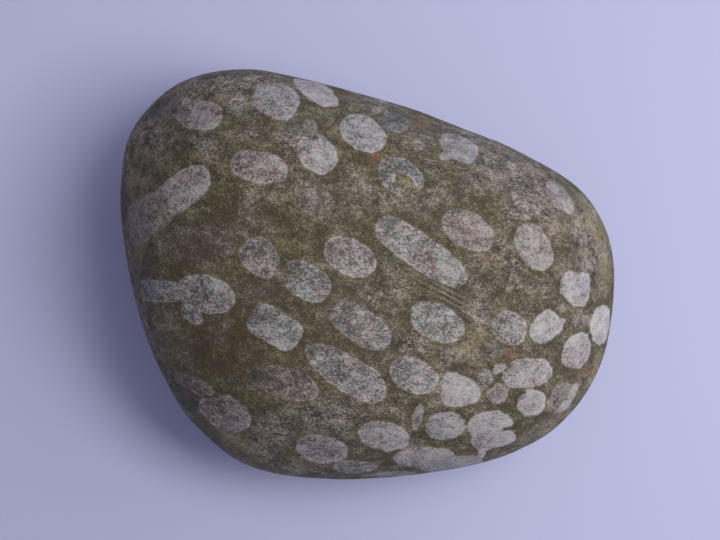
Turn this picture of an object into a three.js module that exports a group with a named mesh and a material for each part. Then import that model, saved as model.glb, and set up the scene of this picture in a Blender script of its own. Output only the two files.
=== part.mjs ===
// A glacial erratic: one water-worn cobble of coral limestone, lying on the small flat spot underneath it.
// Millimetres, +Z up. The origin is under the middle of the stone, on the surface that it lies on.
// +X runs along the stone's length, from its steep blunt end to its rounder low end.
import * as THREE from 'three';
import { mergeVertices } from 'three/addons/utils/BufferGeometryUtils.js';

// Driving dimensions
const LENGTH = 158; // along X
const WIDTH = 130; // along Y
const HEIGHT = 76;
const WAIST = 34; // height of the widest girth above the ground
const SINK = 2.2; // how deep the underside would reach below the ground without its flat spot
const SPOT_ROUND = 1.3; // softness of the rim around the flat spot

// The girth seen from above: points on it, anticlockwise from the low end
const GIRTH = [
  [80.5, -1], [77, 14.5], [69, 26], [49, 39.5], [21, 50.5], [-10.5, 59], [-38, 64.5],
  [-60.5, 60], [-75.5, 45], [-79, 29], [-76.5, 1], [-68.5, -25], [-62.5, -36], [-56, -47],
  [-37.5, -62], [-11.5, -65.5], [17, -63.5], [46.5, -57.5], [63, -48], [76.5, -28],
];
const GIRTH_STEPS = 720; // straight steps that the smooth girth is read from

// Cross-section of the body: 2 is an ellipse, and more is boxier
const CROWN_FULLNESS = 2.35;
const BELLY_FULLNESS = 2.25;
const CROWN_LEAN = new THREE.Vector2(-9, 5); // how far the crown's top stands off the middle
const WAIST_TILT = new THREE.Vector2(-0.02, 0.02); // rise of the girth along X and along Y

// Flats that the ice ground: where each faces, in degrees from +X and above the ground,
// how deep it cuts into the body, and how softly its rim has worn
const FLATS = {
  backFlank: { bearing: 63, rise: 34, cut: 2.6, round: 6 },
  bluntEnd: { bearing: 184, rise: 24, cut: 1.8, round: 5 },
  bluntShoulder: { bearing: 150, rise: 48, cut: 1.8, round: 6 },
  crown: { bearing: 335, rise: 79, cut: 1.8, round: 5 },
  lowEnd: { bearing: 352, rise: 38, cut: 2.2, round: 6 },
  frontShoulder: { bearing: 255, rise: 42, cut: 1.8, round: 6 },
  bellyFront: { bearing: 290, rise: -40, cut: 2.4, round: 7 },
  bellyBack: { bearing: 105, rise: -36, cut: 2, round: 7 },
  bellyBluntEnd: { bearing: 205, rise: -42, cut: 2.2, round: 7 },
};

// Broad hollows and swellings left by wear: where each lies, its radius, and its height
const SWELLS = {
  frontHollow: { bearing: 212, rise: 36, radius: 30, height: -0.9 },
  backHollow: { bearing: 20, rise: 52, radius: 28, height: -0.5 },
  backSwelling: { bearing: 118, rise: 60, radius: 26, height: 0.7 },
  frontSwelling: { bearing: 300, rise: 50, radius: 24, height: 0.6 },
  bellyBackHollow: { bearing: 40, rise: -25, radius: 26, height: -0.9 },
  bellyEndSwelling: { bearing: 160, rise: -30, radius: 24, height: 0.8 },
  bellyFrontHollow: { bearing: 245, rise: -28, radius: 22, height: -0.6 },
};

// Long faint waves, so that no stretch of the surface is a perfect curve
const WAVES = [
  { along: new THREE.Vector3(1, 0.4, 0.7).normalize(), length: 74, height: 0.3, phase: 0 },
  { along: new THREE.Vector3(-0.5, 1, 0.3).normalize(), length: 52, height: 0.22, phase: 1 },
  { along: new THREE.Vector3(0.3, -0.6, 1).normalize(), length: 37, height: 0.14, phase: 2 },
  { along: new THREE.Vector3(1, -0.9, -0.4).normalize(), length: 26, height: 0.09, phase: 3 },
];

const EDGE_SPLITS = 19; // splits of each of the icosahedron's edges: 8,000 triangles in all
const SAME_POINT = 1e-4; // vertices of the unit ball closer than this are one vertex
const MIDDLE = new THREE.Vector3(0, 0, WAIST);

// The unit vector that faces a bearing from +X and a rise above the ground, in degrees.
function facing(bearing, rise) {
  const turn = THREE.MathUtils.degToRad(bearing);
  const lift = THREE.MathUtils.degToRad(rise);
  const level = Math.cos(lift);
  return new THREE.Vector3(Math.cos(turn) * level, Math.sin(turn) * level, Math.sin(lift));
}

// The girth as a function: its radius in the direction of a level vector.
function girth() {
  const corners = GIRTH.map(([x, y]) => new THREE.Vector3(x, y, 0));
  const rim = new THREE.CatmullRomCurve3(corners, true, 'centripetal').getSpacedPoints(GIRTH_STEPS);
  return (x, y) => {
    const side = (point) => x * point.y - y * point.x;
    for (let i = 0; i < GIRTH_STEPS; i += 1) {
      const from = rim[i];
      const to = rim[i + 1];
      const ahead = from.x * x + from.y * y > 0;
      if (ahead && side(from) <= 0 && side(to) > 0) {
        return from.clone().lerp(to, side(from) / (side(from) - side(to))).length();
      }
    }
    return 0; // straight up or down, where there is no level direction
  };
}

// A point of the rounded body before the ice ground it: each level section is a smaller girth.
function bodyPoint(direction, radiusToward) {
  const level = Math.hypot(direction.x, direction.y);
  const up = direction.z >= 0;
  const fullness = up ? CROWN_FULLNESS : BELLY_FULLNESS;
  const reach = (level ** fullness + Math.abs(direction.z) ** fullness) ** (-1 / fullness);
  const radius = radiusToward(direction.x, direction.y) * reach;
  const height = direction.z * reach;
  const lean = up ? height ** 2 : 0;
  const x = direction.x * radius + CROWN_LEAN.x * lean;
  const y = direction.y * radius + CROWN_LEAN.y * lean;
  const z = WAIST + height * (up ? HEIGHT - WAIST : WAIST + SINK);
  return new THREE.Vector3(x, y, z + x * WAIST_TILT.x + y * WAIST_TILT.y);
}

// Takes what stands over a plane down to it: exactly where it stood well over, softly at the rim.
function grind(points, normal, distance, round) {
  for (const point of points) {
    const over = point.dot(normal) - distance;
    if (over > -round) {
      const cut = over >= round ? over : (over + round) ** 2 / (4 * round);
      point.addScaledVector(normal, -cut);
    }
  }
}

function grindFlats(points) {
  for (const { bearing, rise, cut, round } of Object.values(FLATS)) {
    const normal = facing(bearing, rise);
    const reach = Math.max(...points.map((point) => point.dot(normal)));
    grind(points, normal, reach - cut, round);
  }
}

function swell(points) {
  for (const { bearing, rise, radius, height } of Object.values(SWELLS)) {
    const normal = facing(bearing, rise);
    const along = (point) => point.clone().sub(MIDDLE).normalize().dot(normal);
    const centre = points.reduce((best, point) => (along(point) > along(best) ? point : best)).clone();
    for (const point of points) {
      const share = Math.min(1, point.distanceTo(centre) / radius);
      point.addScaledVector(normal, height * (1 - share ** 2) ** 2);
    }
  }
}

function ripple(points) {
  for (const point of points) {
    const outward = point.clone().sub(MIDDLE).normalize();
    const rise = WAVES.reduce((sum, { along, length, height, phase }) => {
      const turns = point.dot(along) / length;
      return sum + height * Math.sin(2 * Math.PI * turns + phase);
    }, 0);
    point.addScaledVector(outward, rise);
  }
}

// Brings the worn stone to its stated length, width and height, over the origin.
function fitToSize(points) {
  const box = new THREE.Box3().setFromPoints(points);
  const size = box.getSize(new THREE.Vector3());
  const centre = box.getCenter(new THREE.Vector3());
  for (const point of points) {
    point.x = ((point.x - centre.x) * LENGTH) / size.x;
    point.y = ((point.y - centre.y) * WIDTH) / size.y;
    point.z = (point.z * HEIGHT) / box.max.z;
  }
}

function stoneGeometry() {
  const ball = new THREE.IcosahedronGeometry(1, EDGE_SPLITS);
  ball.deleteAttribute('normal');
  ball.deleteAttribute('uv');
  const geometry = mergeVertices(ball, SAME_POINT);
  const position = geometry.getAttribute('position');
  const radiusToward = girth();
  const points = Array.from({ length: position.count }, (_, i) => {
    const direction = new THREE.Vector3().fromBufferAttribute(position, i).normalize();
    return bodyPoint(direction, radiusToward);
  });
  grindFlats(points);
  swell(points);
  ripple(points);
  grind(points, new THREE.Vector3(0, 0, -1), 0, SPOT_ROUND);
  fitToSize(points);
  points.forEach((point, i) => position.setXYZ(i, point.x, point.y, point.z));
  geometry.computeVertexNormals();
  return geometry;
}

const coralLimestone = new THREE.MeshStandardMaterial({ color: 0x6f675a, roughness: 0.72, metalness: 0 });
const stone = new THREE.Mesh(stoneGeometry(), coralLimestone);
stone.name = 'stone';

const erratic = new THREE.Group();
erratic.add(stone);

export default erratic;
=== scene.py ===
"""Looks of a glacial erratic: a water-worn cobble of coral limestone lying on a pale floor.

The packed stone gives the shape. This script lays a finer skin over it, marks where the tubes of the
coral colony are cut through, finishes the rock and sets up the stage, light and camera.
Lengths are in metres, and names that end in _MM are in millimetres. Photo places are in its pixels.
"""
import math
import random
from collections import namedtuple

import bpy
import numpy as np
from mathutils import Matrix, Vector


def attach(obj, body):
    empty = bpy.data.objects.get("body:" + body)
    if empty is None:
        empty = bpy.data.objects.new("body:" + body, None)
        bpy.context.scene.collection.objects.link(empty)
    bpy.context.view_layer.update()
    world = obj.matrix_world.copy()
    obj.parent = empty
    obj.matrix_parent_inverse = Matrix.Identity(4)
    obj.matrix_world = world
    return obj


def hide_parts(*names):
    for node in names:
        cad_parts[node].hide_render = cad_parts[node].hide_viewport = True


bl_info = {
    "name": "Coral limestone erratic",
    "version": (1, 0, 0),
    "blender": (4, 5, 0),
    "location": "View3D > Sidebar > Erratic",
    "description": "Gives a packed cobble its fine skin, coral sections, rock finish and stage",
    "category": "Object",
}

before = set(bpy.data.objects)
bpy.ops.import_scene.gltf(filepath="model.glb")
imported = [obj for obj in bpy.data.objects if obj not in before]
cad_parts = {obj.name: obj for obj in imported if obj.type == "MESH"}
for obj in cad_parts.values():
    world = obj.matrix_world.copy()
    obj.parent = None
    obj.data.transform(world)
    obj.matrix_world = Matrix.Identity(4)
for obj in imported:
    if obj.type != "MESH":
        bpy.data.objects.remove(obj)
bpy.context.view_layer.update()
MM = 0.001

# How the photo looks at the stone: from straight above, with the frame's middle beside the stone's
PHOTO_WIDTH = 720
PHOTO_HEIGHT = 540
PIXEL_MM = 0.32  # what one pixel covers at the height of the widest girth
STONE_MIDDLE = (368, 275)  # the pixel over the stone's origin
GIRTH_HEIGHT_MM = 33.0
VIEW_DISTANCE_MM = 576.0  # from the widest girth up to the camera
SENSOR_MM = 36.0

# The skin
SKIN_SEED = 4.0
WELD_DISTANCE = 0.01 * MM
HOLLOW_DEPTH_MM = 0.45

# How tubes are cut. Facing is the upward part of a surface's normal: 1 on top, 0 where it is upright.
GROWTH = Vector((0.58, -0.40, 0.71)).normalized()  # every tube leans this way through the stone
FAR_MM = 50.0  # farther than any tube is from the ground round it
GAP_MM = 0.5  # half the width of the gap between two tubes that touch
STRETCH = 1.2  # how much longer than in the photo a tube may be on the steep sides
CLOSE_FACING = (-0.2, -0.02)  # facing below which a tube that the photo shows closes, at random
CLOSE_UNDER_MM = 26.0  # how fast it closes there
CLOSE_ROUND_MM = 12.0  # how fast an unseen tube closes where the surface turns away from its middle
CLOSE_TURN = 0.35  # cosine of the turn at which it starts to
CLOSE_DEPTH = 0.8  # how deep below its middle it goes, as a part of its half length
SEEN_FACING = 0.02  # facing above which an unseen tube closes, because the photo shows the surface
CLEAR_MM = 0.8  # the least distance from an unseen tube to the others is twice this

# Unseen tubes. Where there are two values, one between them is drawn at random for each tube.
LEAN = (-0.18, 0.18)  # how far one strays from the way the colony grew
WIDTH = (0.85, 1.12)  # its width as a part of the usual one
LENGTH = (0.92, 1.08)  # its length as a part of what its slant gives
SQUARE = (2.0, 2.8)
TINT = (0, 1)
PALE = (0.05, 0.6)
SHOW = (0.7, 1)  # these four as for the tubes that the photo shows
ROOM = 0.9  # least distance from its middle to other tubes, as a part of half the usual width
BUD_SIZE = 0.45  # a bud's width as a part of a full tube's
BUD_SPACING = 1.6  # the distance between two buds as a part of that between two full tubes

# How soft marks fade
MARK_FADE = 1.4  # leaves a quarter of a mark's strength at its rim
MARK_EDGE = 5.0  # how sharply it ends where the surface turns out of the photo's sight

# The rock's grain, in the order of its size
FINE_GRAIN_MM = 0.6
BLOTCH_MM = 3.5
CLUSTER_MM = 5.0
PATCH_MM = 15.0
CLUSTER_WEIGHT = 0.9  # how much the clusters count beside the fine grains
DRAWN_OUT = 0.8  # a grain's width over its length, which lies along the photo's right
TUBE_GRAIN_WEIGHT = 1.1  # how strongly the grains show in a tube
RELIEF_MM = 0.35  # height of the grains that are too fine for the mesh

# The ground and the tubes
RIM_START_MM = 0.5  # from a tube to where the smooth ground round it starts to give way to grains
RIM_END_MM = 4.0  # from a tube to where that ground ends
DARK_STRENGTH = 0.8  # how well the smooth dark ground covers the rest
HOLLOW_STRENGTH = 0.85  # how strongly dirt and painted shade darken the hollows
LINE_SPACING_MM = 1.5  # between the walls of tubes in the lined places
LINE_TURN = math.radians(33)  # turns those walls to run down to the photo's right
WAVE_SCALE = math.tau / 20  # a wave texture's scale for one wave in each unit of length
WANDER_SPACING_MM = 4.5
WANDER_MM = 2.4  # between the farthest in and out that a tube's outline wanders over that spacing
RAGGED_MM = 0.8  # how far in or out a single grain takes it
SHARPNESS_MM = 0.22  # half the width over which ground and tube blend
WALL_FULL_MM = 0.2  # depth in from its outline to which a tube's wall shows in full
WALL_GONE_MM = 0.6  # depth at which it is gone
# painted light: a tube grows paler towards its right end, the end towards the light
RIGHT_END_PAINTED_LIGHT = 0.12  # how much paler than its middle a tube is at its right end
GROUND_ROUGHNESS = 0.78
TUBE_ROUGHNESS = 0.62

# A node that mixes colours: the sockets of the two, and its settings with the output of the result
MIX_A = 6
MIX_B = 7
MIX_COLOURS = {"output": 2, "data_type": "RGBA"}

# A cut coral tube: the pixel over its middle, its length and width in millimetres and how many degrees
# its length is turned anticlockwise from the photo's right. tint runs from pinkish at 0 to blue-green
# grey at 1, pale from dull at 0 to white at 1, and show is how clearly it stands out of the ground.
# square is 2 for an ellipse and more for blunter ends, and flare widens the right end. A joined tube
# runs into the tubes above it in the list, and every other one keeps a narrow gap to them.
Tube = namedtuple("Tube", "across down long wide turn tint pale show square flare joined",
                  defaults=(1, 2.2, 0, False))

TUBES = (
    Tube(200, 115, 14.6, 9.6, -3, 0.05, 0.28, 0.85),
    Tube(173, 108, 11, 6.5, -8, 0, 0.15, 0.5, joined=True),
    Tube(276, 100, 14.6, 11.2, -22, 0.6, 0.39, 0.95, 2.9),
    Tube(316, 91, 16.5, 6.6, -35, 0.45, 0.7),
    Tube(363, 133, 15.4, 10.6, -30, 0.6, 0.46),
    Tube(378, 111, 4.2, 3.2, -30, 0, 0.35, 0.6),
    Tube(317, 154, 14, 11.2, -38, 0.4, 0.43),
    Tube(310, 126, 5, 3.8, -40, 0.9, 0.6, 0.4),
    Tube(259, 167, 19, 10.2, -11, 0.1, 0.25),
    Tube(180, 192, 22.5, 10.8, 37, 0.1, 0.38, 0.85, 2.6),
    Tube(142, 221, 22, 12, 36, 0.15, 0.22, 0.45, 3.2, joined=True),
    Tube(401, 177, 16, 11.2, -35, 0.85, 0.08),
    Tube(459, 147, 13, 8.2, -33, 0.55, 0.43, 0.85),
    Tube(445, 156, 3.6, 2.6, 20, 0, 0.8, 0.6, joined=True),
    Tube(393, 121, 10.2, 9.4, -40, 0.95, 0.12, 0.55),
    Tube(419, 145, 3.8, 3, -20, 0.9, 0.45, 0.55),
    Tube(312, 199, 15.5, 10.2, -35, 0.2, 0.05, 0.4),
    Tube(260, 258, 14, 11, -48, 0.08, 0.09, 1, 2.2, -0.12),
    Tube(306, 281, 17, 11.3, -33, 0.8, 0.13),
    Tube(285, 274, 6, 6.4, -33, 0.2, 0, 0.45, joined=True),
    Tube(350, 257, 17.6, 11.2, -25, 0.1, 0.17),
    Tube(421, 252, 34, 10.9, -35, 0.55, 0.21, 1, 2.7, -0.05),
    Tube(468, 230, 18, 11.4, -32, 0.05, 0.25, 0.7),
    Tube(534, 247, 16.2, 10.6, -60, 0.05, 0.48, 0.75),
    Tube(543, 260, 5, 3.2, 60, 0.4, 1, 0.7, joined=True),
    Tube(560, 197, 13, 5.2, -50, 0.05, 0.8, 0.38),
    Tube(553, 188, 4.4, 2.4, -35, 0.3, 1, 0.7, joined=True),
    Tube(568, 206, 5.6, 2.8, -60, 0, 1, 0.65, joined=True),
    Tube(576, 289, 12.4, 11, -8, 0.5, 0.6, 1, 3.2),
    Tube(601, 325, 12.6, 6.9, 83, 0.4, 0.96),
    Tube(577, 351, 12.2, 9, 58, 0.05, 0.54),
    Tube(547, 326, 13, 8.6, 45, 0.7, 0.62, 1, 2.4),
    Tube(510, 328, 11.6, 10.4, -30, 0.5, 0.22),
    Tube(437, 322, 18.2, 11.3, -25, 0.75, 0.24),
    Tube(361, 326, 21.2, 10.9, -33, 0.35, 0.07, 1, 2.5),
    Tube(275, 327, 17.2, 10.9, -31, 0.8, 0.22, 1, 5),
    Tube(206, 294, 19, 11.8, -18, 0.75, 0.17),
    Tube(156, 291, 16.5, 7, -3, 0.75, 0.18, 0.85, 3.5, joined=True),
    Tube(192, 315, 8, 4.4, -38, 0.7, 0.13, 0.9, joined=True),
    Tube(345, 372, 29.5, 11.3, -32, 0.5, 0.12, 1, 2.3, 0.14),
    Tube(289, 384, 19.6, 9.8, -17, 0.08, 0.06, 0.7, 2.4, -0.1),
    Tube(255, 378, 6.4, 7.4, -10, 0.95, 0, 0.5, joined=True),
    Tube(414, 375, 16, 11, -25, 0.75, 0.27),
    Tube(461, 391, 12.8, 10, -8, 0.45, 0.68, 1, 3, -0.3),
    Tube(486, 379, 5.4, 6.6, 0, 0.6, 0.13, 0.8),
    Tube(501, 369, 6.6, 3.4, 20, 0.5, 0.75, 0.95),
    Tube(497, 393, 6.8, 6.4, 0, 0, 0.25, 0.75),
    Tube(527, 373, 16.4, 9.2, 8, 0.5, 0.5, 1, 2.5),
    Tube(532, 403, 9.6, 7.8, 10, 0.45, 0.72),
    Tube(562, 399, 11.5, 7.6, 52, 0.05, 0.35, 0.5),
    Tube(573, 392, 6, 2.2, 62, 0.1, 1, 0.65, joined=True),
    Tube(564, 406, 6, 2.2, 42, 0, 0.95, 0.85, joined=True),
    Tube(445, 426, 12.4, 9, 10, 0.6, 0.42),
    Tube(490, 425, 14.6, 9.2, 6, 0.35, 0.7),
    Tube(504, 438, 7.4, 7, 10, 0.7, 0.8, joined=True),
    Tube(484, 442, 8.4, 5.4, -10, 0.05, 0.36, 0.9, joined=True),
    Tube(482, 454, 2.2, 5.4, -12, 0.05, 1, 1, joined=True),
    Tube(384, 436, 16, 9.2, -12, 0.6, 0.4),
    Tube(322, 449, 16.6, 8.6, -10, 0.3, 0.32),
    Tube(424, 457, 19.8, 6.4, 0, 0.4, 0.47, 0.95),
    Tube(452, 464, 20, 4.6, 8, 0.8, 0.6, 0.8, joined=True),
    Tube(355, 467, 14.4, 4.4, -3, 0.75, 0.25, 0.75),
    Tube(388, 474, 17, 1.6, 2, 0.3, 0.3, 0.75),
    Tube(225, 412, 17.6, 10.2, -28, 0.05, 0.18, 0.85),
    Tube(196, 386, 17, 4.6, -28, 0, 0.02, 0.6),
    Tube(418, 418, 8.6, 3, 76, 0, 0.7, 0.65),
)

# Places where the ground reaches into a tube, as tubes that are taken away
BITES = (
    Tube(559, 305, 14, 6, -38, 0, 0),
    Tube(405, 183, 7.6, 4.6, -38, 0, 0),
    Tube(412, 196, 9, 6.4, -50, 0, 0),
    Tube(313, 137, 3.2, 2.6, 0, 0, 0),
    Tube(511, 428, 5, 0.9, 8, 0, 0),
)

# A soft mark on the surface: its middle, length, width and turn as for a tube, and its strength
Mark = namedtuple("Mark", "across down long wide turn strength")

GREEN_STAINS = (
    Mark(158, 113, 9, 5, 20, 1),
    Mark(232, 114, 3.6, 3.6, 0, 0.8),
    Mark(290, 125, 6.4, 4, 0, 0.9),
    Mark(307, 124, 6, 4.6, -40, 0.6),
    Mark(395, 120, 9, 8, -40, 0.7),
    Mark(334, 287, 3, 4.2, -50, 0.8),
    Mark(386, 314, 5.4, 3, -50, 0.8),
    Mark(372, 273, 5.4, 2.6, 30, 0.7),
    Mark(386, 263, 5, 3.2, 20, 0.4),
    Mark(459, 287, 7.4, 2.6, -5, 0.9),
    Mark(374, 350, 4.6, 1.8, -10, 0.8),
    Mark(332, 411, 4.6, 3.8, 0, 0.7),
    Mark(263, 412, 2.4, 3.2, 0, 0.9),
    Mark(254, 423, 2.2, 2.6, 0, 1),
    Mark(482, 143, 4.6, 3, -20, 0.8),
    Mark(512, 158, 5.8, 2.6, -20, 0.8),
    Mark(497, 349, 5.2, 3, 30, 0.8),
    Mark(142, 271, 3.6, 4.6, 0, 1),
    Mark(132, 263, 2.6, 5, -10, 0.7),
    Mark(175, 377, 4, 3, -30, 0.8),
    # these three marks along the lower-left edge are partly a real green-dark band and partly painted shade
    # where the surface turns away from the light
    Mark(188, 398, 16, 5, -55, 1),
    Mark(216, 436, 12, 4, -42, 0.9),
    Mark(246, 456, 11, 3, -25, 0.7),
    Mark(152, 220, 3.4, 3.6, 40, 0.6),
    Mark(292, 78, 12, 3, -12, 0.7),
    Mark(432, 127, 6, 5, -30, 0.6),
    Mark(345, 474, 20, 2.4, 0, 0.8),
    Mark(460, 400, 3, 2, -10, 0.2),
    Mark(468, 404, 4.4, 1.6, 5, 0.7),
    Mark(568, 191, 13, 3.4, -46, 0.8),
    Mark(562, 424, 14, 2.6, 38, 0.5),
)

RUST_STAINS = (
    Mark(376, 158, 4.2, 2.6, 0, 1),
    Mark(343, 95, 4, 3, -30, 0.7),
    Mark(420, 126, 6.4, 4, -30, 0.6),
    Mark(507, 355, 4.4, 3.4, 0, 0.9),
    Mark(588, 370, 5.4, 4, 45, 0.7),
    Mark(576, 379, 4.4, 2.6, 20, 0.7),
    Mark(486, 262, 3.6, 2, -10, 0.9),
    Mark(188, 390, 5, 3.4, -30, 0.8),
    Mark(266, 256, 4.2, 3, -20, 0.5),
    Mark(357, 254, 3.4, 1.8, -20, 0.5),
    Mark(541, 366, 3, 1.6, 30, 0.9),
    Mark(455, 273, 3.8, 2, -20, 0.5),
    Mark(510, 202, 3.4, 2.6, 0, 0.5),
    Mark(468, 453, 7, 2.6, -8, 0.6),
    Mark(135, 232, 3, 8, 20, 0.4),
)

YELLOW_STAINS = (
    Mark(138, 175, 9, 30, 8, 0.6),
    Mark(140, 258, 8, 14, -15, 0.5),
    Mark(240, 446, 26, 6, -35, 0.4),
    Mark(165, 345, 5, 16, 25, 0.3),
    Mark(220, 98, 4.6, 3, 0, 1),
    Mark(196, 157, 3.6, 3, -30, 0.9),
    Mark(251, 141, 3.2, 2.2, 0, 0.6),
    Mark(207, 270, 5.4, 2.2, -10, 0.7),
    Mark(281, 243, 3.6, 3, -20, 0.5),
    Mark(439, 149, 4, 3.6, 0, 0.6),
    Mark(539, 170, 3.6, 2, -10, 0.9),
    Mark(486, 184, 3.2, 2.2, 0, 0.9),
    Mark(478, 340, 6, 5.4, 30, 0.8),
    Mark(464, 348, 5, 3.4, 0, 0.7),
    Mark(434, 366, 6, 3.4, 0, 0.7),
    Mark(586, 254, 2.6, 5.4, 0, 0.6),
    Mark(571, 390, 2, 4, 20, 0.8),
    Mark(434, 402, 3.6, 4, 0, 0.5),
    Mark(293, 362, 5.6, 3.6, -30, 0.6),
    Mark(341, 139, 2.8, 2.4, 0, 0.6),
    Mark(409, 181, 3.4, 3.4, 0, 0.5),
    Mark(594, 224, 24, 7, -62, 0.6),
    Mark(606, 270, 4.6, 16, 0, 0.6),
    Mark(556, 224, 9, 8, -30, 0.5),
    Mark(596, 368, 4, 18, -28, 0.6),
    Mark(556, 426, 26, 6, 42, 0.6),
)

# Small hollows, darkened with dirt and painted shade, most of them along the walls of tubes
HOLLOWS = (
    Mark(417, 421, 3.6, 1.5, 76, 0.9),
    Mark(253, 377, 3.4, 4.6, 0, 0.8),
    Mark(519, 397, 1.8, 5.4, -22, 0.9),
    Mark(459, 287, 6.4, 1.7, -4, 0.8),
    Mark(335, 287, 1.7, 4.2, 30, 0.7),
    Mark(387, 314, 5, 1.7, -50, 0.7),
    Mark(374, 350, 4.6, 1.4, -5, 0.7),
    Mark(321, 128, 1.8, 1.5, 0, 0.8),
    Mark(131, 155, 1.5, 5.2, 8, 0.8),
    Mark(254, 424, 1.8, 2, 0, 0.9),
    Mark(263, 412, 1.6, 2.2, 0, 0.8),
    Mark(143, 273, 1.8, 2.6, 0, 0.8),
    Mark(299, 266, 1.7, 1.7, 0, 0.7),
    Mark(174, 110, 3.2, 2.4, -20, 0.6),
    Mark(383, 443, 1.7, 1.4, 0, 0.7),
    Mark(583, 296, 1.5, 1.3, 0, 0.6),
    Mark(546, 253, 1.6, 2.6, -10, 0.6),
    Mark(427, 307, 1.7, 1.4, 0, 0.7),
    Mark(468, 405, 3.6, 1.3, 4, 0.9),
    Mark(500, 378, 1.4, 3.6, -30, 0.8),
    Mark(193, 404, 3, 2.6, -40, 0.8),
    Mark(186, 388, 3.2, 2, -30, 0.7),
    Mark(315, 137, 2.4, 1.5, 10, 0.6),
    Mark(549, 377, 1.5, 3.2, -20, 0.6),
)

# Smooth dark brown ground, without pale grains
DARK_STAINS = (
    Mark(416, 222, 24, 9, -12, 1),
    Mark(330, 198, 18, 8, 0, 0.5),
    Mark(345, 222, 16, 8, 0, 0.6),
    Mark(318, 252, 8, 10, 0, 0.8),
    Mark(272, 290, 15, 9, -30, 0.9),
    Mark(318, 338, 10, 20, -35, 1),
    Mark(374, 352, 15, 8, -30, 0.9),
    Mark(386, 374, 8, 8, 0, 0.6),
    Mark(258, 463, 12, 5, -20, 0.6),
    Mark(383, 308, 6, 9, 0, 0.5),
    Mark(245, 305, 12, 16, -30, 0.7),
    Mark(258, 400, 12, 5, -20, 0.7),
    Mark(222, 378, 14, 6, -30, 0.8),
    Mark(232, 352, 12, 10, 0, 0.5),
    Mark(180, 345, 10, 20, 20, 0.6),
    Mark(210, 345, 48, 30, -60, 1),
    Mark(195, 255, 38, 19, 20, 1),
    Mark(240, 215, 22, 14, -30, 0.6),
    Mark(300, 340, 12, 24, -30, 0.7),
    Mark(250, 285, 16, 9, -30, 0.6),
    Mark(155, 175, 12, 14, 0, 0.4),
    Mark(268, 130, 9, 6, 0, 0.5),
    Mark(330, 300, 8, 16, -40, 0.5),
    Mark(465, 292, 12, 5, -30, 0.7),
    Mark(455, 440, 16, 4, -8, 0.7),
    Mark(505, 403, 20, 4, 6, 0.6),
    Mark(380, 455, 22, 5, -4, 0.6),
    Mark(330, 392, 18, 6, -38, 0.5),
)

# Lighter ground, full of pale pinkish grains; on the upper right, the side towards the light, these places
# are partly painted light
GRAINY_AND_LIT_PLACES = (
    Mark(260, 79, 42, 7, 0, 0.9),
    Mark(187, 105, 18, 12, -30, 1),
    Mark(254, 108, 8, 10, 0, 0.9),
    Mark(298, 140, 18, 13, -30, 1),
    Mark(378, 102, 14, 6, -25, 0.8),
    Mark(480, 142, 20, 7, -30, 1),
    Mark(525, 166, 14, 7, -32, 1),
    Mark(592, 202, 8, 14, 35, 1),
    Mark(517, 262, 10, 15, 0, 1),
    Mark(545, 288, 8, 9, 0, 0.8),
    Mark(466, 278, 9, 6, -30, 0.9),
    Mark(528, 311, 7, 6, 0, 0.8),
    Mark(492, 350, 7, 6, 0, 0.8),
    Mark(437, 395, 7, 24, 0, 1),
    Mark(590, 378, 7, 13, -40, 1),
    Mark(315, 431, 13, 5, 0, 0.7),
    Mark(412, 444, 9, 5, -20, 0.7),
    Mark(152, 165, 10, 18, 0, 0.4),
    Mark(160, 235, 10, 12, 35, 0.4),
    Mark(385, 262, 6, 9, 0, 0.5),
    Mark(560, 268, 8, 9, 0, 0.8),
    Mark(524, 285, 14, 7, -20, 0.8),
    Mark(552, 222, 12, 9, -50, 0.9),
    Mark(512, 215, 12, 9, -40, 0.8),
    Mark(486, 262, 9, 7, -40, 0.6),
    Mark(150, 130, 14, 18, -30, 0.3),
    Mark(235, 105, 12, 10, -20, 0.6),
    Mark(185, 85, 24, 8, 25, 0.7),
    Mark(228, 88, 16, 6, 10, 0.9),
    Mark(262, 133, 12, 6, 0, 0.6),
    Mark(210, 142, 12, 6, 0, 0.5),
    Mark(173, 142, 9, 8, 0, 0.4),
    Mark(322, 115, 9, 6, -30, 0.5),
    Mark(420, 135, 16, 6, -30, 0.5),
    Mark(398, 285, 15, 10, -20, 0.5),
    Mark(415, 343, 15, 6, 0, 0.8),
    Mark(455, 352, 12, 6, 0, 0.8),
    Mark(325, 414, 22, 9, -5, 1),
    Mark(268, 438, 14, 12, -30, 0.9),
    Mark(230, 440, 8, 8, -40, 0.6),
    Mark(586, 215, 14, 10, -60, 0.9),
    Mark(405, 405, 9, 8, 0, 0.5),
    Mark(587, 240, 11, 26, 12, 1),
    Mark(560, 425, 20, 7, 45, 1),
    Mark(525, 188, 40, 14, -38, 0.9),
    Mark(487, 178, 18, 9, -30, 0.6),
    Mark(500, 245, 9, 14, 0, 0.8),
    Mark(452, 198, 8, 7, 0, 0.6),
    Mark(480, 310, 6, 9, 0, 0.5),
    Mark(585, 320, 5, 5, 0, 0.6),
)

# Tubes that are cut along their walls and show as fine lines side by side
LINED_PLACES = (
    Mark(448, 294, 16, 7, -36, 1),
    Mark(424, 281, 14, 5, -33, 0.4),
    Mark(196, 388, 18, 6, -30, 0.9),
    Mark(300, 213, 14, 5, -40, 0.5),
    Mark(545, 205, 16, 9, -38, 0.4),
)

# What is written down at each point of the stone: how it lies to its tube, and the soft marks
SECTION_MARKS = ("edge", "side", "tint", "pale", "show")
SOFT_MARKS = {
    "green": GREEN_STAINS,
    "rust": RUST_STAINS,
    "yellow": YELLOW_STAINS,
    "dark": DARK_STAINS,
    "grainy_and_lit": GRAINY_AND_LIT_PLACES,
    "lined": LINED_PLACES,
    "hollow": HOLLOWS,
}


def linear(hex_colour):
    """Turn an sRGB hex colour into the linear red, green and blue that a shader reads."""
    parts = (int(hex_colour[i:i + 2], 16) / 255 for i in (1, 3, 5))
    return tuple(p / 12.92 if p <= 0.04045 else ((p + 0.055) / 1.055) ** 2.4 for p in parts)


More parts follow.
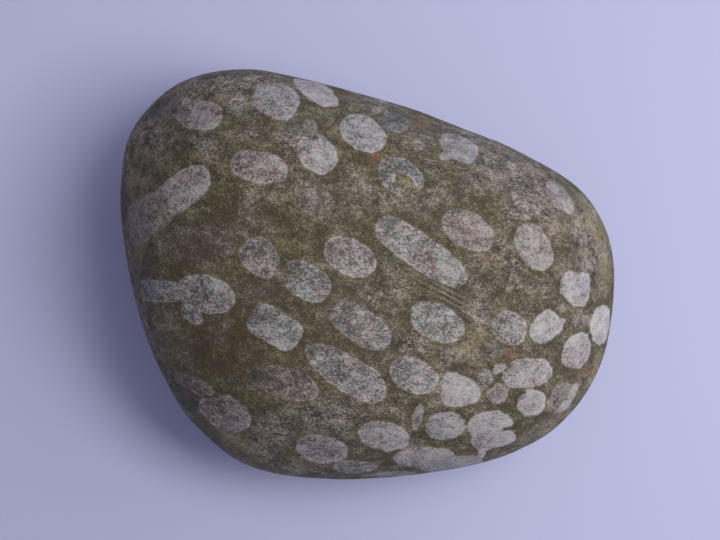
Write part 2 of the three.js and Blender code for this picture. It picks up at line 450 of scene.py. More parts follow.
def add_node(tree, kind, values=None, links=None, output=0, **settings):
    """Add a node with its settings, its sockets' values and the outputs that feed its sockets.

    Gives the one of its own outputs that other nodes read.
    """
    node = tree.nodes.new(kind)
    for name, value in settings.items():
        setattr(node, name, value)
    for socket, value in (values or {}).items():
        node.inputs[socket].default_value = value
    for socket, source in (links or {}).items():
        tree.links.new(source, node.inputs[socket])
    return node.outputs[output] if len(node.outputs) else None


# Sizes and colours that a user would change

def length_of(name, description, default):
    """Give a property that holds a length."""
    return bpy.props.FloatProperty(name=name, description=description, default=default, unit="LENGTH")


def angle_of(name, description, degrees):
    """Give a property that holds an angle."""
    return bpy.props.FloatProperty(
        name=name, description=description, default=math.radians(degrees), subtype="ANGLE")


def power_of(name, description, default):
    """Give a property that holds the power of a light."""
    return bpy.props.FloatProperty(name=name, description=description, default=default, unit="POWER")


def colour_of(name, description, default):
    """Give a property that holds a colour."""
    return bpy.props.FloatVectorProperty(
        name=name, description=description, default=default, subtype="COLOR")


class SkinSizes(bpy.types.PropertyGroup):
    """The fine relief of the worn surface."""

    levels: bpy.props.IntProperty(
        name="Levels", description="How often the solid's faces are divided", default=2, min=0, max=2)
    swell_height: length_of("Swell height", "How far the shallow swells rise and fall", 0.2 * MM)
    swell_length: length_of("Swell length", "Distance from one shallow swell to the next", 13 * MM)
    dent_depth: length_of("Dent depth", "Depth of the small worn dents", 0.22 * MM)
    dent_spacing: length_of("Dent spacing", "Distance between the small worn dents", 3.4 * MM)
    footing: length_of("Footing", "Height over which the relief fades out towards the flat spot", 4 * MM)


class CoralSizes(bpy.types.PropertyGroup):
    """The coral tubes on the sides that the photo doesn't show."""

    radius: length_of("Tube radius", "Half the usual width of a tube", 5.5 * MM)
    spacing: length_of("Spacing", "Least distance between the middles of two tubes", 14.5 * MM)
    longest: bpy.props.FloatProperty(
        name="Longest cut", description="Length over width of the most slanting cut", default=2.6)
    seed: bpy.props.IntProperty(
        name="Seed", description="Picks one scatter of the unseen tubes", default=11)


class RockColours(bpy.types.PropertyGroup):
    """Colours of the rock, its tubes and its stains."""

    olive: colour_of("Olive ground", "Smooth ground close to the tubes", linear("#544D3A"))
    lilac: colour_of("Lilac ground", "Grainy ground between the tubes", linear("#776E6A"))
    dark: colour_of("Dark ground", "Smooth dark brown ground", linear("#433624"))
    olive_grain: colour_of("Olive grain", "Pale grains of the olive ground", linear("#988F77"))
    pale_grain: colour_of("Pale grain", "Light grains in the ground", linear("#B4A9A3"))
    dark_grain: colour_of("Dark grain", "Dark grains in the ground", linear("#2C2318"))
    pink: colour_of("Pink tube", "Dull tubes with a pinkish fill", linear("#877377"))
    grey: colour_of("Grey tube", "Dull tubes with a blue-green grey fill", linear("#72787A"))
    white: colour_of("White tube", "The palest tubes", linear("#CAC7CB"))
    wall: colour_of("Tube wall", "The thin wall round each tube", linear("#CBC2BE"))
    tube_grain: colour_of("Tube grain", "Dark grains inside the tubes", linear("#48423F"))
    green_stain: colour_of("Green stain", "Blue-green stains", linear("#44514A"))
    rust_stain: colour_of("Rust stain", "Rusty stains", linear("#7A4733"))
    yellow_stain: colour_of("Yellow stain", "Yellowish stains", linear("#8E8258"))
    # the hollows' dark colour is partly dirt and partly painted shade
    hollow: colour_of("Hollow", "Dark dirt in the small hollows", linear("#2A2B27"))


class StageSizes(bpy.types.PropertyGroup):
    """Floor, light and camera."""

    floor_width: length_of("Floor width", "Side of the square floor", 6)
    floor_colour: colour_of("Floor colour", "Pale violet-blue of the floor", linear("#C4C9F1"))
    light_distance: length_of("Light distance", "From the stone to the soft light", 0.68)
    light_height: angle_of("Light height", "Angle of the light above the floor", 62)
    light_bearing: angle_of("Light bearing", "Angle of the light anticlockwise from the photo's right", 4)
    light_length: length_of("Light length", "Long side of the soft light", 0.47)
    light_width: length_of("Light width", "Short side of the soft light", 0.24)
    light_turn: angle_of("Light turn", "Bearing that the light's long side runs along", -36)
    light_power: power_of("Light power", "Power of the soft light", 2.85)
    light_colour: colour_of("Light colour", "Slightly warm colour of the soft light", (1.0, 0.98, 0.86))
    window_distance: length_of("Window distance", "From the stone to the window", 1.0)
    window_height: angle_of("Window height", "Angle of the window above the floor", 26)
    window_bearing: angle_of(
        "Window bearing", "Angle of the window anticlockwise from the photo's right", 26)
    window_side: length_of("Window side", "Side of the square window", 0.8)
    window_power: power_of("Window power", "Power of the light from the window", 3.0)
    window_colour: colour_of(
        "Window colour", "Nearly white colour of the light from the window", (0.97, 0.98, 0.98))
    fill_colour: colour_of("Fill colour", "Light from all round", (0.23, 0.226, 0.272))


# The stone's skin

def skin_tree():
    """Build the geometry nodes that weld, divide and finely roughen a copy of the solid."""
    tree = bpy.data.node_groups.new("Worn stone skin", "GeometryNodeTree")
    tree.interface.new_socket("Geometry", in_out="OUTPUT", socket_type="NodeSocketGeometry")
    tree.interface.new_socket("Geometry", in_out="INPUT", socket_type="NodeSocketGeometry")
    tree.interface.new_socket("Levels", in_out="INPUT", socket_type="NodeSocketInt")
    for name in ("Weld distance", "Swell height", "Swell length", "Dent depth", "Dent spacing", "Footing"):
        tree.interface.new_socket(name, in_out="INPUT", socket_type="NodeSocketFloat")
    tree.interface.new_socket("Material", in_out="INPUT", socket_type="NodeSocketMaterial")

    given = tree.nodes.new("NodeGroupInput").outputs
    welded = add_node(tree, "GeometryNodeMergeByDistance", links={
        "Geometry": given["Geometry"], "Distance": given["Weld distance"]})
    divided = add_node(tree, "GeometryNodeSubdivisionSurface", links={
        "Mesh": welded, "Level": given["Levels"]})

    place = add_node(tree, "GeometryNodeInputPosition")
    normal = add_node(tree, "GeometryNodeInputNormal")
    swell_scale = add_node(tree, "ShaderNodeMath", {0: 1.0}, {1: given["Swell length"]}, operation="DIVIDE")
    swell = add_node(tree, "ShaderNodeTexNoise", {"W": SKIN_SEED, "Detail": 3.0, "Roughness": 0.5}, {
        "Vector": place, "Scale": swell_scale}, noise_dimensions="4D")
    swell_level = add_node(tree, "ShaderNodeMapRange", {"To Min": -1.0, "To Max": 1.0}, {"Value": swell})
    swell_rise = add_node(tree, "ShaderNodeMath", links={
        0: swell_level, 1: given["Swell height"]}, operation="MULTIPLY")
    dent_scale = add_node(tree, "ShaderNodeMath", {0: 1.0}, {1: given["Dent spacing"]}, operation="DIVIDE")
    dents = add_node(tree, "ShaderNodeTexNoise", {"W": SKIN_SEED, "Detail": 1.0}, {
        "Vector": place, "Scale": dent_scale}, noise_dimensions="4D")
    dent_level = add_node(tree, "ShaderNodeMapRange", {"From Min": 0.56, "From Max": 0.74}, {
        "Value": dents}, interpolation_type="SMOOTHSTEP")
    dent_drop = add_node(tree, "ShaderNodeMath", links={
        0: dent_level, 1: given["Dent depth"]}, operation="MULTIPLY")
    relief = add_node(tree, "ShaderNodeMath", links={0: swell_rise, 1: dent_drop}, operation="SUBTRACT")

    height = add_node(tree, "ShaderNodeSeparateXYZ", links={0: place}, output="Z")
    fade = add_node(tree, "ShaderNodeMapRange", {"From Min": 0.0}, {
        "Value": height, "From Max": given["Footing"]}, interpolation_type="SMOOTHSTEP")
    faded = add_node(tree, "ShaderNodeMath", links={0: relief, 1: fade}, operation="MULTIPLY")
    offset = add_node(tree, "ShaderNodeVectorMath", links={0: normal, "Scale": faded}, operation="SCALE")
    moved = add_node(tree, "GeometryNodeSetPosition", links={"Geometry": divided, "Offset": offset})

    smooth = add_node(tree, "GeometryNodeSetShadeSmooth", links={"Geometry": moved})
    real = add_node(tree, "GeometryNodeRealizeInstances", links={"Geometry": smooth})
    finished = add_node(tree, "GeometryNodeSetMaterial", links={
        "Geometry": real, "Material": given["Material"]})
    add_node(tree, "NodeGroupOutput", links={"Geometry": finished})
    return tree


def set_inputs(modifier, values):
    """Set a geometry nodes modifier's inputs, found by their names, through their identifiers."""
    for item in modifier.node_group.interface.items_tree:
        if item.item_type == "SOCKET" and item.in_out == "INPUT" and item.name in values:
            modifier[item.identifier] = values[item.name]


def plain_mesh(piece):
    """Turn a piece's modifiers into a plain mesh and take the modifiers away."""
    evaluated = piece.evaluated_get(bpy.context.evaluated_depsgraph_get())
    mesh = bpy.data.meshes.new_from_object(evaluated)
    piece.modifiers.clear()
    piece.data = mesh


# Where the coral tubes are cut

def photo_place(points):
    """Say which pixel of the photo each point in millimetres is seen at."""
    eye_x = (PHOTO_WIDTH / 2 - STONE_MIDDLE[0]) * PIXEL_MM
    eye_y = (STONE_MIDDLE[1] - PHOTO_HEIGHT / 2) * PIXEL_MM
    nearness = VIEW_DISTANCE_MM / (GIRTH_HEIGHT_MM + VIEW_DISTANCE_MM - points[:, 2])
    across = (points[:, 0] - eye_x) * nearness / PIXEL_MM + PHOTO_WIDTH / 2
    down = PHOTO_HEIGHT / 2 - (points[:, 1] - eye_y) * nearness / PIXEL_MM
    return across, down


def outline_distance(along, across, half_long, half_wide, square, flare):
    """Distance in millimetres from a rounded outline round the origin, negative inside it."""
    half_wide = half_wide * (1 + flare * np.clip(along / half_long, -1, 1))
    x = np.abs(along)
    y = np.abs(across)
    reach = ((x / half_long) ** square + (y / half_wide) ** square + 1e-9) ** (1 / square)
    slope = reach ** (1 - square) * np.hypot(
        x ** (square - 1) / half_long ** square, y ** (square - 1) / half_wide ** square)
    return np.maximum((reach - 1) / np.maximum(slope, 1e-6), -np.minimum(half_long, half_wide))


def turned(across, down, mark):
    """Give each pixel's place along and across a mark of the photo, in millimetres."""
    right = (across - mark.across) * PIXEL_MM
    up = (mark.down - down) * PIXEL_MM
    turn = math.radians(mark.turn)
    return right * math.cos(turn) + up * math.sin(turn), up * math.cos(turn) - right * math.sin(turn)


def soft_marks(across, down, facing, marks):
    """Strength of the soft marks at each point: full at a mark's middle and a quarter at its rim."""
    strength = np.zeros_like(across)
    for mark in marks:
        along, aside = turned(across, down, mark)
        reach = (2 * along / mark.long) ** 2 + (2 * aside / mark.wide) ** 2
        strength = np.maximum(strength, mark.strength * np.exp(-MARK_FADE * reach))
    return strength * np.clip(facing * MARK_EDGE + 0.5, 0, 1)


class Sections:
    """Which tube each point of the surface is in or nearest to, and how far it is from its wall."""

    def __init__(self, count):
        self.edge = np.full(count, FAR_MM)
        self.side = np.zeros(count)
        self.tint = np.zeros(count)
        self.pale = np.zeros(count)
        self.show = np.zeros(count)

    def add(self, distance, side, tint, pale, show, joined=False):
        """Lay one more tube into the surface, with a narrow gap to the others unless it is joined."""
        nearer = distance < self.edge
        gap = GAP_MM - np.abs(distance - self.edge) / 2
        self.edge = np.minimum(self.edge, distance)
        if joined:
            nearer |= distance < 0
        else:
            self.edge = np.maximum(self.edge, gap)
        self.side = np.where(nearer, side, self.side)
        self.tint = np.where(nearer, tint, self.tint)
        self.pale = np.where(nearer, pale, self.pale)
        self.show = np.where(nearer, show, self.show)

    def bite(self, distance):
        """Take a piece out of the tubes."""
        self.edge = np.maximum(self.edge, -distance)


def seen_sections(points, facing, chance):
    """Lay in the tubes that the photo shows, and close each one just under the widest girth.

    Near the girth the photo squeezes the surface, so a tube also ends at its own length from its middle.
    """
    across, down = photo_place(points)
    sections = Sections(len(points))
    for tube in TUBES:
        along, aside = turned(across, down, tube)
        distance = outline_distance(along, aside, tube.long / 2, tube.wide / 2, tube.square, tube.flare)
        off_middle = np.where(facing < 0, np.inf, np.hypot(along, aside))
        from_middle = np.linalg.norm(points - points[np.argmin(off_middle)], axis=1)
        distance = np.maximum(distance, from_middle - STRETCH * max(tube.long, tube.wide) / 2)
        distance += CLOSE_UNDER_MM * np.maximum(chance.uniform(*CLOSE_FACING) - facing, 0)
        side = np.clip(2 * along / tube.long, -1, 1)
        sections.add(distance, side, tube.tint, tube.pale, tube.show, tube.joined)
    for bite in BITES:
        along, aside = turned(across, down, bite)
        sections.bite(outline_distance(along, aside, bite.long / 2, bite.wide / 2, bite.square, 0))
    return sections


def unseen_section(points, normals, middle, normal, half_wide, longest, chance):
    """Cut a tube that leans along the growth with the surface round a point out of the photo's sight."""
    lean = np.array(GROWTH) + np.array([chance.uniform(*LEAN) for _ in range(3)])
    lean /= np.linalg.norm(lean)
    steepness = abs(float(lean @ normal))
    slant = min(1 / steepness, longest) if steepness > 0 else longest
    half_long = half_wide * slant * chance.uniform(*LENGTH)
    long_way = lean - (lean @ normal) * normal
    long_way /= np.linalg.norm(long_way)
    away = points - middle
    along = away @ long_way
    aside = away @ np.cross(normal, long_way)
    distance = outline_distance(along, aside, half_long, half_wide, chance.uniform(*SQUARE), 0)
    distance += CLOSE_ROUND_MM * np.maximum(CLOSE_TURN - normals @ normal, 0)
    distance += np.maximum(np.abs(away @ normal) - half_long * CLOSE_DEPTH, 0)
    return distance, np.clip(along / half_long, -1, 1)


def scatter_unseen(sections, points, normals, facing, sizes, chance):
    """Scatter tubes, and then buds between them, over the sides that the photo doesn't show."""
    order = [int(i) for i in np.flatnonzero(facing < 0.0)]
    chance.shuffle(order)
    for size, spread in ((1.0, 1.0), (BUD_SIZE, BUD_SPACING)):
        radius = sizes.radius / MM * size
        spacing = sizes.spacing / MM * spread
        free = sections.edge > radius * ROOM
        for i in order:
            if not free[i]:
                continue
            half_wide = radius * chance.uniform(*WIDTH)
            distance, side = unseen_section(
                points, normals, points[i], normals[i], half_wide, sizes.longest, chance)
            distance += 2 * CLOSE_ROUND_MM * np.maximum(facing - SEEN_FACING, 0)
            if np.any((distance < CLEAR_MM) & (sections.edge < CLEAR_MM)):
                continue
            tint = chance.uniform(*TINT)
            pale = chance.uniform(*PALE)
            sections.add(distance, side, tint, pale, chance.uniform(*SHOW))
            free &= np.linalg.norm(points - points[i], axis=1) > spacing


def mark_surface(piece, sizes):
    """Write down on the stone where its tubes, stains and lined places are."""
    mesh = piece.data
    count = len(mesh.vertices)
    points = np.empty(count * 3)
    mesh.vertices.foreach_get("co", points)
    points = points.reshape(-1, 3) / MM
    normals = np.empty(count * 3)
    mesh.vertex_normals.foreach_get("vector", normals)
    normals = normals.reshape(-1, 3)
    facing = normals[:, 2]
    chance = random.Random(sizes.seed)

    sections = seen_sections(points, facing, chance)
    scatter_unseen(sections, points, normals, facing, sizes, chance)
    across, down = photo_place(points)
    marks = {"tube_" + name: getattr(sections, name) for name in SECTION_MARKS}
    for name, places in SOFT_MARKS.items():
        marks[name] = soft_marks(across, down, facing, places)
    sunk = (points - normals * marks["hollow"][:, None] * HOLLOW_DEPTH_MM) * MM
    mesh.vertices.foreach_set("co", sunk.ravel())
    for name, values in marks.items():
        layer = mesh.attributes.new(name, "FLOAT", "POINT")
        layer.data.foreach_set("value", values.astype(np.float32))


# The rock's finish

def coral_limestone(colours):
    """Coral limestone, ground smooth by ice and water and then left dry: matte, with fine grains that
    stay a little rough, and tubes filled with paler and harder lime that take a slightly better polish.
    """
    material = bpy.data.materials.new("Water-worn coral limestone")
    material.use_nodes = True
    tree = material.node_tree
    tree.nodes.clear()
    place = add_node(tree, "ShaderNodeTexCoord", output="Object")
    mark = {}
    for name in (*("tube_" + name for name in SECTION_MARKS), *SOFT_MARKS):
        mark[name] = add_node(tree, "ShaderNodeAttribute", output="Fac", attribute_name=name)

    # Fine grains and clusters of them, a little drawn out, and wide patches
    drawn_out = add_node(tree, "ShaderNodeMapping", {
        "Rotation": (0.0, 0.0, LINE_TURN), "Scale": (DRAWN_OUT, 1.0, 1.0)}, {
        "Vector": place}, vector_type="POINT")
    fine = add_node(tree, "ShaderNodeTexNoise", {
        "Scale": 1 / (FINE_GRAIN_MM * MM), "Detail": 1.0, "Roughness": 1.0}, {"Vector": drawn_out})
    cluster = add_node(tree, "ShaderNodeTexNoise", {
        "Scale": 1 / (CLUSTER_MM * MM), "Detail": 2.0, "Roughness": 1.0}, {"Vector": drawn_out})
    patch = add_node(tree, "ShaderNodeTexNoise", {
        "Scale": 1 / (PATCH_MM * MM), "Detail": 3.0, "Roughness": 0.55, "Distortion": 0.4}, {
        "Vector": place})

    # Ground: olive close to the tubes, lilac and grainy away from them and where the grainy marks add
    # painted light on the upper right, dark brown where marked
    near_tube = add_node(tree, "ShaderNodeMapRange", {
        "From Min": RIM_START_MM, "From Max": RIM_END_MM, "To Min": 0.65, "To Max": 0.0}, {
        "Value": mark["tube_edge"]}, interpolation_type="SMOOTHSTEP")
    patchy = add_node(tree, "ShaderNodeMapRange", {"From Min": 0.38, "From Max": 0.66, "To Max": 0.7}, {
        "Value": patch}, interpolation_type="SMOOTHSTEP")
    # painted light: the grainy marks on the upper right also lighten that side as if more light fell on it
    lively_and_lit = add_node(tree, "ShaderNodeMath", links={
        0: patchy, 1: mark["grainy_and_lit"]}, operation="ADD", use_clamp=True)
    not_grainy_and_lit = add_node(tree, "ShaderNodeMath", {0: 1.0}, {1: mark["grainy_and_lit"]}, operation="SUBTRACT")
    smooth_rim = add_node(tree, "ShaderNodeMath", links={
        0: near_tube, 1: not_grainy_and_lit}, operation="MULTIPLY")
    open_ground = add_node(tree, "ShaderNodeMath", {0: 1.0}, {1: smooth_rim}, operation="SUBTRACT")
    grainy_and_lit = add_node(tree, "ShaderNodeMath", links={0: open_ground, 1: lively_and_lit}, operation="MULTIPLY")
    ground = add_node(tree, "ShaderNodeMix", {MIX_A: (*colours.olive, 1), MIX_B: (*colours.lilac, 1)}, {
        0: grainy_and_lit}, **MIX_COLOURS)
    smooth_dark = add_node(tree, "ShaderNodeMath", {1: DARK_STRENGTH}, {
        0: mark["dark"]}, operation="MULTIPLY")
    ground = add_node(tree, "ShaderNodeMix", {MIX_B: (*colours.dark, 1)}, {
        0: smooth_dark, MIX_A: ground}, **MIX_COLOURS)

    # Grains in the ground, fewer where it is dark and smooth
    fine_tone = add_node(tree, "ShaderNodeMapRange", {"To Min": -1.0, "To Max": 1.0}, {
        "Value": fine}, clamp=False)
    cluster_tone = add_node(tree, "ShaderNodeMapRange", {"To Min": -1.0, "To Max": 1.0}, {
        "Value": cluster}, clamp=False)
    grain = add_node(tree, "ShaderNodeMath", {1: CLUSTER_WEIGHT}, {
        0: cluster_tone, 2: fine_tone}, operation="MULTIPLY_ADD")
    pale_grain = add_node(tree, "ShaderNodeMapRange", {
        "From Min": 0.04, "From Max": 0.5, "To Max": 1.0}, {"Value": grain})
    few = add_node(tree, "ShaderNodeMapRange", {"To Min": 1.0, "To Max": 0.3}, {"Value": mark["dark"]})
    many = add_node(tree, "ShaderNodeMapRange", {"To Min": 0.65, "To Max": 1.0}, {"Value": grainy_and_lit})
    grain_amount = add_node(tree, "ShaderNodeMath", links={0: few, 1: many}, operation="MULTIPLY")
    pale_amount = add_node(tree, "ShaderNodeMath", links={
        0: pale_grain, 1: grain_amount}, operation="MULTIPLY")
    pale_colour = add_node(tree, "ShaderNodeMix", {
        MIX_A: (*colours.olive_grain, 1), MIX_B: (*colours.pale_grain, 1)}, {0: grainy_and_lit}, **MIX_COLOURS)
    ground = add_node(tree, "ShaderNodeMix", links={
        0: pale_amount, MIX_A: ground, MIX_B: pale_colour}, **MIX_COLOURS)
    dark_grain = add_node(tree, "ShaderNodeMapRange", {
        "From Min": -0.02, "From Max": -0.42, "To Max": 1.0}, {"Value": grain})
    dark_amount = add_node(tree, "ShaderNodeMath", links={
        0: dark_grain, 1: grain_amount}, operation="MULTIPLY")
    ground = add_node(tree, "ShaderNodeMix", {MIX_B: (*colours.dark_grain, 1)}, {
        0: dark_amount, MIX_A: ground}, **MIX_COLOURS)

    # Stains, broken up by the grain clusters
    broken = add_node(tree, "ShaderNodeMapRange", {
        "From Min": 0.35, "From Max": 0.62, "To Min": 0.25, "To Max": 0.95}, {"Value": cluster})
    for name in ("green", "rust", "yellow"):
        tone = getattr(colours, name + "_stain")
        amount = add_node(tree, "ShaderNodeMath", links={0: mark[name], 1: broken}, operation="MULTIPLY")
        ground = add_node(tree, "ShaderNodeMix", {MIX_B: (*tone, 1)}, {
            0: amount, MIX_A: ground}, **MIX_COLOURS)

    # Lined places: the pale walls of tubes side by side, with dark lines between them
    walls = add_node(tree, "ShaderNodeTexWave", {
        "Scale": WAVE_SCALE / (LINE_SPACING_MM * MM), "Distortion": 1.6, "Detail": 2.0,
        "Detail Scale": 0.5}, {"Vector": drawn_out}, output="Fac", wave_type="BANDS",
        bands_direction="Y", wave_profile="SIN")
    for tone, line_start, line_full, strength in (
            (colours.pale_grain, 0.60, 1.0, 0.35), (colours.dark_grain, 0.45, 0.05, 0.5)):
        line = add_node(tree, "ShaderNodeMapRange", {"From Min": line_start, "From Max": line_full}, {
            "Value": walls})
        line_amount = add_node(tree, "ShaderNodeMath", links={
            0: line, 1: mark["lined"]}, operation="MULTIPLY")
        softer = add_node(tree, "ShaderNodeMath", {1: strength}, {0: line_amount}, operation="MULTIPLY")
        ground = add_node(tree, "ShaderNodeMix", {MIX_B: (*tone, 1)}, {
            0: softer, MIX_A: ground}, **MIX_COLOURS)

    # The tubes' outlines wander a little and are ragged
    wander = add_node(tree, "ShaderNodeTexNoise", {
        "Scale": 1 / (WANDER_SPACING_MM * MM), "Detail": 4.0, "Roughness": 0.75}, {"Vector": place})
    to_and_fro = add_node(tree, "ShaderNodeMath", {1: -0.5}, {0: wander}, operation="ADD")
    wandering = add_node(tree, "ShaderNodeMath", {1: WANDER_MM}, {
        0: to_and_fro, 2: mark["tube_edge"]}, operation="MULTIPLY_ADD")
    edge = add_node(tree, "ShaderNodeMath", {1: RAGGED_MM}, {
        0: fine_tone, 2: wandering}, operation="MULTIPLY_ADD")

    # The fill of a tube: from pinkish to grey, paler where marked, and paler towards its right end as
    # painted light from the right
    blotch = add_node(tree, "ShaderNodeTexNoise", {
        "Scale": 1 / (BLOTCH_MM * MM), "Detail": 4.0, "Roughness": 0.8}, {"Vector": place})
    blotch_tint = add_node(tree, "ShaderNodeMapRange", {
        "From Min": 0.38, "From Max": 0.62, "To Min": -0.8, "To Max": 0.8}, {"Value": blotch})
    tint = add_node(tree, "ShaderNodeMath", links={
        0: mark["tube_tint"], 1: blotch_tint}, operation="ADD", use_clamp=True)
    fill = add_node(tree, "ShaderNodeMix", {MIX_A: (*colours.pink, 1), MIX_B: (*colours.grey, 1)}, {
        0: tint}, **MIX_COLOURS)
    # painted light: the tube's own paleness plus a painted gradient that brightens its right end
    pale_and_right_end_light = add_node(tree, "ShaderNodeMath", {1: RIGHT_END_PAINTED_LIGHT}, {
        0: mark["tube_side"], 2: mark["tube_pale"]}, operation="MULTIPLY_ADD")
    pale = add_node(tree, "ShaderNodeMath", {1: TUBE_GRAIN_WEIGHT}, {
        0: grain, 2: pale_and_right_end_light}, operation="MULTIPLY_ADD")
    whitish = add_node(tree, "ShaderNodeMapRange", {"From Min": 0.0, "From Max": 1.5}, {"Value": pale})
    fill = add_node(tree, "ShaderNodeMix", {MIX_B: (*colours.white, 1)}, {
        0: whitish, MIX_A: fill}, **MIX_COLOURS)
    speck = add_node(tree, "ShaderNodeMapRange", {"From Min": 0.35, "From Max": -0.35, "To Max": 1.0}, {
        "Value": pale})
    fill = add_node(tree, "ShaderNodeMix", {MIX_B: (*colours.tube_grain, 1)}, {
        0: speck, MIX_A: fill}, **MIX_COLOURS)

    # The tube's thin wall, broken, and brighter towards the right end as a painted highlight on the side
    # that faces the light
    wall_band = add_node(tree, "ShaderNodeMapRange", {
        "From Min": -WALL_GONE_MM, "From Max": -WALL_FULL_MM}, {
        "Value": edge}, interpolation_type="SMOOTHSTEP")
    # painted highlight: the wall shows more strongly towards the tube's right end, the end towards the
    # light
    wall_painted_highlight = add_node(tree, "ShaderNodeMapRange", {
        "From Min": -1.0, "From Max": 1.0, "To Min": 0.15, "To Max": 0.65}, {"Value": mark["tube_side"]})
    wall_broken = add_node(tree, "ShaderNodeMapRange", {
        "From Min": -0.25, "From Max": 0.25, "To Min": 0.3, "To Max": 1.0}, {"Value": grain})
    wall_left = add_node(tree, "ShaderNodeMath", links={
        0: wall_band, 1: wall_broken}, operation="MULTIPLY")
    wall_mix = add_node(tree, "ShaderNodeMath", links={
        0: wall_left, 1: wall_painted_highlight}, operation="MULTIPLY")
    fill = add_node(tree, "ShaderNodeMix", {MIX_B: (*colours.wall, 1)}, {
        0: wall_mix, MIX_A: fill}, **MIX_COLOURS)

    # Ground and tubes together
    inside = add_node(tree, "ShaderNodeMapRange", {"From Min": SHARPNESS_MM, "From Max": -SHARPNESS_MM}, {
        "Value": edge}, interpolation_type="SMOOTHSTEP")
    inside_shown = add_node(tree, "ShaderNodeMath", links={
        0: inside, 1: mark["tube_show"]}, operation="MULTIPLY")
    colour = add_node(tree, "ShaderNodeMix", links={
        0: inside_shown, MIX_A: ground, MIX_B: fill}, **MIX_COLOURS)

    # Dust and shade make the hollows dark
    hollow_dark = add_node(tree, "ShaderNodeMath", {1: HOLLOW_STRENGTH}, {
        0: mark["hollow"]}, operation="MULTIPLY")
    colour = add_node(tree, "ShaderNodeMix", {MIX_B: (*colours.hollow, 1)}, {
        0: hollow_dark, MIX_A: colour}, **MIX_COLOURS)

    # Relief too fine for the mesh: grains stand proud, less so in the tubes
    grain_height = add_node(tree, "ShaderNodeMapRange", {
        "From Min": -0.5, "From Max": 0.5, "To Min": 0.0, "To Max": 1.0}, {"Value": grain})
    flatter = add_node(tree, "ShaderNodeMapRange", {"To Min": 1.0, "To Max": 0.55}, {"Value": inside})
    grain_relief = add_node(tree, "ShaderNodeMath", links={
        0: grain_height, 1: flatter}, operation="MULTIPLY")
    bump = add_node(tree, "ShaderNodeBump", {"Strength": 0.6, "Distance": RELIEF_MM * MM}, {
        "Height": grain_relief})
    rough = add_node(tree, "ShaderNodeMapRange", {"To Min": GROUND_ROUGHNESS, "To Max": TUBE_ROUGHNESS}, {
        "Value": inside})
    shader = add_node(tree, "ShaderNodeBsdfPrincipled", {"IOR": 1.5}, {
        "Base Color": colour, "Roughness": rough, "Normal": bump})
    add_node(tree, "ShaderNodeOutputMaterial", links={"Surface": shader})
    return material


class ERRATIC_OT_stone(bpy.types.Operator):
    """Lay the finely worn, coral-marked skin over the packed stone"""

    bl_idname = "erratic.stone"
    bl_label = "Make the stone"

    def execute(self, context):
        sizes = context.scene.erratic_skin
        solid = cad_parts["stone"]
        stone = bpy.data.objects.new("worn_stone", solid.data.copy())
        stone.matrix_world = solid.matrix_world
        context.scene.collection.objects.link(stone)
        skin = stone.modifiers.new("Skin", "NODES")
        skin.node_group = skin_tree()
        set_inputs(skin, {
            "Levels": sizes.levels,
            "Weld distance": WELD_DISTANCE,
            "Swell height": sizes.swell_height,
            "Swell length": sizes.swell_length,
            "Dent depth": sizes.dent_depth,
            "Dent spacing": sizes.dent_spacing,
            "Footing": sizes.footing,
            "Material": coral_limestone(context.scene.erratic_colours),
        })
        plain_mesh(stone)
        mark_surface(stone, context.scene.erratic_coral)
        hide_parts("stone")
        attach(stone, "root")
        return {"FINISHED"}


# Floor, light and camera

def floor_material(colour):
    """Card dyed pale and pressed smooth, without a gloss."""
    material = bpy.data.materials.new("Matte pale card")
    material.use_nodes = True
    shader = material.node_tree.nodes["Principled BSDF"]
    shader.inputs["Base Color"].default_value = (*colour, 1)
    shader.inputs["Roughness"].default_value = 0.9
    return material


def toward(height, bearing):
    """Give the direction at an angle above the floor and at a bearing."""
    return Vector((math.cos(height) * math.cos(bearing), math.cos(height) * math.sin(bearing),
                   math.sin(height)))


def soft_light(scene, name, power, colour, length, width, back, distance, long_way):
    """Hang a rectangular light back from the stone, with its long side as near to long_way as it can be."""
    lamp = bpy.data.lights.new(name, "AREA")
    lamp.shape = "RECTANGLE"
    lamp.size = length
    lamp.size_y = width
    lamp.energy = power
    lamp.color = colour
    light = bpy.data.objects.new(name, lamp)
    long_side = (long_way - long_way.dot(back) * back).normalized()
    short_side = back.cross(long_side)
    light.location = Vector((0, 0, GIRTH_HEIGHT_MM * MM)) + back * distance
    light.rotation_euler = Matrix((long_side, short_side, back)).transposed().to_euler()
    scene.collection.objects.link(light)


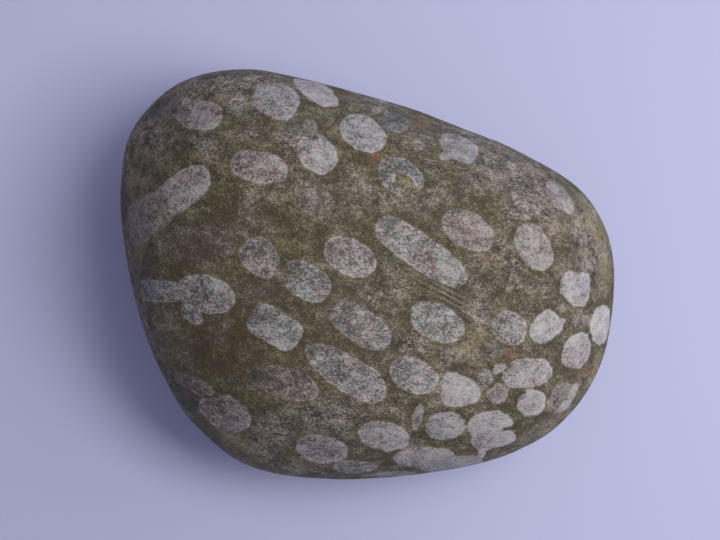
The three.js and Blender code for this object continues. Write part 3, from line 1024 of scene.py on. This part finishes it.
class ERRATIC_OT_stage(bpy.types.Operator):
    """Lay the floor and set up the light and the camera"""

    bl_idname = "erratic.stage"
    bl_label = "Set up the stage"

    def execute(self, context):
        scene = context.scene
        sizes = scene.erratic_stage
        half = sizes.floor_width / 2
        mesh = bpy.data.meshes.new("Floor")
        corners = [(-half, -half, 0), (half, -half, 0), (half, half, 0), (-half, half, 0)]
        mesh.from_pydata(corners, [], [(0, 1, 2, 3)])
        mesh.materials.append(floor_material(sizes.floor_colour))
        floor = bpy.data.objects.new("floor", mesh)
        scene.collection.objects.link(floor)

        soft_light(scene, "Soft light", sizes.light_power, sizes.light_colour,
                   sizes.light_length, sizes.light_width,
                   toward(sizes.light_height, sizes.light_bearing), sizes.light_distance,
                   toward(0, sizes.light_turn))
        soft_light(scene, "Window", sizes.window_power, sizes.window_colour,
                   sizes.window_side, sizes.window_side,
                   toward(sizes.window_height, sizes.window_bearing), sizes.window_distance,
                   Vector((0, 0, 1)))

        world = bpy.data.worlds.new("Fill")
        world.use_nodes = True
        world.node_tree.nodes["Background"].inputs["Color"].default_value = (*sizes.fill_colour, 1)
        world.node_tree.nodes["Background"].inputs["Strength"].default_value = 1
        scene.world = world
        scene.view_settings.view_transform = "Standard"

        eye = Vector((PHOTO_WIDTH / 2 - STONE_MIDDLE[0], STONE_MIDDLE[1] - PHOTO_HEIGHT / 2, 0)) * PIXEL_MM
        eye.z = GIRTH_HEIGHT_MM + VIEW_DISTANCE_MM
        camera_data = bpy.data.cameras.new("Camera")
        camera_data.sensor_fit = "HORIZONTAL"
        camera_data.sensor_width = SENSOR_MM
        camera_data.lens = SENSOR_MM * VIEW_DISTANCE_MM / (PHOTO_WIDTH * PIXEL_MM)
        camera = bpy.data.objects.new("Camera", camera_data)
        camera.location = eye * MM
        scene.collection.objects.link(camera)
        scene.camera = camera
        return {"FINISHED"}


class ERRATIC_PT_panel(bpy.types.Panel):
    """Everything that makes up the erratic"""

    bl_idname = "ERRATIC_PT_panel"
    bl_label = "Erratic"
    bl_space_type = "VIEW_3D"
    bl_region_type = "UI"
    bl_category = "Erratic"

    def draw(self, context):
        for step in OPERATORS:
            self.layout.operator(step.bl_idname)
        for name, group in GROUPS.items():
            box = self.layout.box()
            box.label(text=group.__doc__)
            for field in group.__annotations__:
                box.prop(getattr(context.scene, name), field)


OPERATORS = (ERRATIC_OT_stone, ERRATIC_OT_stage)
GROUPS = {
    "erratic_skin": SkinSizes,
    "erratic_coral": CoralSizes,
    "erratic_colours": RockColours,
    "erratic_stage": StageSizes,
}


def register():
    """Make the properties, operators and panel known to Blender."""
    for name, group in GROUPS.items():
        bpy.utils.register_class(group)
        setattr(bpy.types.Scene, name, bpy.props.PointerProperty(type=group))
    for step in (*OPERATORS, ERRATIC_PT_panel):
        bpy.utils.register_class(step)


def unregister():
    """Take the properties, operators and panel away again."""
    for step in (ERRATIC_PT_panel, *reversed(OPERATORS)):
        bpy.utils.unregister_class(step)
    for name, group in reversed(GROUPS.items()):
        delattr(bpy.types.Scene, name)
        bpy.utils.unregister_class(group)


def main():
    """Build everything in order."""
    register()
    bpy.ops.erratic.stage()
    bpy.ops.erratic.stone()


if __name__ == "__main__":
    main()
